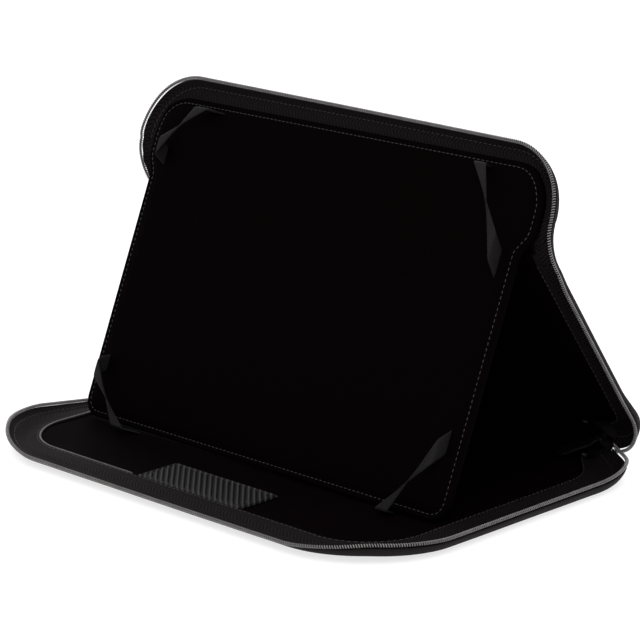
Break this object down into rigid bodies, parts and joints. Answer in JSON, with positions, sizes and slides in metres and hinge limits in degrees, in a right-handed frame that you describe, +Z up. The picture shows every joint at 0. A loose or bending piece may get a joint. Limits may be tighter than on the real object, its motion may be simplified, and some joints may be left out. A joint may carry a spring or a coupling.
{
  "type": "tablet case",
  "caption": "Zip-round folio tablet case folded into its stand: flat base tray, propping back cover and a padded panel with elastic corner straps.",
  "frame": {"origin": "on the table, under the middle of the opened stand's box", "axes": "+X across the case to the right of a person facing the tablet, +Y from the front rim to the spine, +Z up"},
  "size_m": [0.3016, 0.219, 0.1854],
  "materials": {
    "shell_fabric": "fine plain weave laminated on a moulded shell",
    "panel_fabric": "smooth brushed face, stitched edge",
    "lining_fabric": "matt brushed lining",
    "zipper_tape": "herringbone woven tape",
    "zipper_coil": "semi-gloss nylon coil",
    "stiffener_board": "plain fibre board",
    "strap_elastic": "woven elastic",
    "grip_rubber": "matt, ribbed",
    "zipper_metal": "dark plated, satin"
  },
  "bodies": {
    "base": {"base_outer_shell": "shell_fabric", "base_stiffener": "stiffener_board", "base_lining": "lining_fabric", "base_zipper_tape": "zipper_tape", "base_zipper_coil": "zipper_coil", "base_fold_strip": "shell_fabric", "base_grip_pad": "grip_rubber", "base_zipper_stop": "zipper_metal"},
    "spine": {"spine_cover": "shell_fabric", "spine_stiffener": "stiffener_board", "spine_lining": "lining_fabric", "spine_fold_strip": "shell_fabric"},
    "leg": {"leg_outer_shell": "shell_fabric", "leg_stiffener": "stiffener_board", "leg_lining": "lining_fabric", "leg_zipper_tape_left": "zipper_tape", "leg_zipper_coil_left": "zipper_coil", "leg_zipper_tape_right": "zipper_tape", "leg_zipper_coil_right": "zipper_coil", "leg_fold_strip": "shell_fabric", "leg_zipper_stop": "zipper_metal"},
    "head": {"head_outer_shell": "shell_fabric", "head_stiffener": "stiffener_board", "head_zipper_tape": "zipper_tape", "head_zipper_coil": "zipper_coil", "panel_back_cover": "panel_fabric", "panel_board": "stiffener_board", "panel_face_cover": "panel_fabric", "strap_top_left": "strap_elastic", "strap_top_right": "strap_elastic", "strap_bottom_left": "strap_elastic", "strap_bottom_right": "strap_elastic"},
    "zip_slider": {"zipper_slider": "zipper_metal"},
    "zip_pull": {"zipper_pull": "zipper_metal"}
  },
  "joints": [
    {"name": "spine_fold", "type": "hinge", "parent": "base", "child": "spine", "pos_m": [0, 0.1095, 0], "axis": [-1, 0, 0], "range_deg": [0, 90]},
    {"name": "leg_fold", "type": "hinge", "parent": "spine", "child": "leg", "pos_m": [0, 0.1095, 0.022], "axis": [-1, 0, 0], "range_deg": [0, 36.01]},
    {"name": "crease_fold", "type": "hinge", "parent": "leg", "child": "head", "pos_m": [0, 0.02674, 0.13591], "axis": [1, 0, 0], "range_deg": [0, 58.56]},
    {"name": "slider_slide", "type": "slide", "parent": "base", "child": "zip_slider", "axis": [0.7478, -0.6342, -0.1965], "range_m": [0, 0.012]},
    {"name": "pull_swing", "type": "hinge", "parent": "zip_slider", "child": "zip_pull", "pos_m": [0.12134, 0.0966, 0.01663], "axis": [-0.7478, 0.6342, 0.1965], "range_deg": [0, 85]}
  ],
  "couplings": [
    {"joint": "leg_fold", "follows": "spine_fold", "ratio": 0.4},
    {"joint": "crease_fold", "follows": "spine_fold", "ratio": 0.65056}
  ]
}
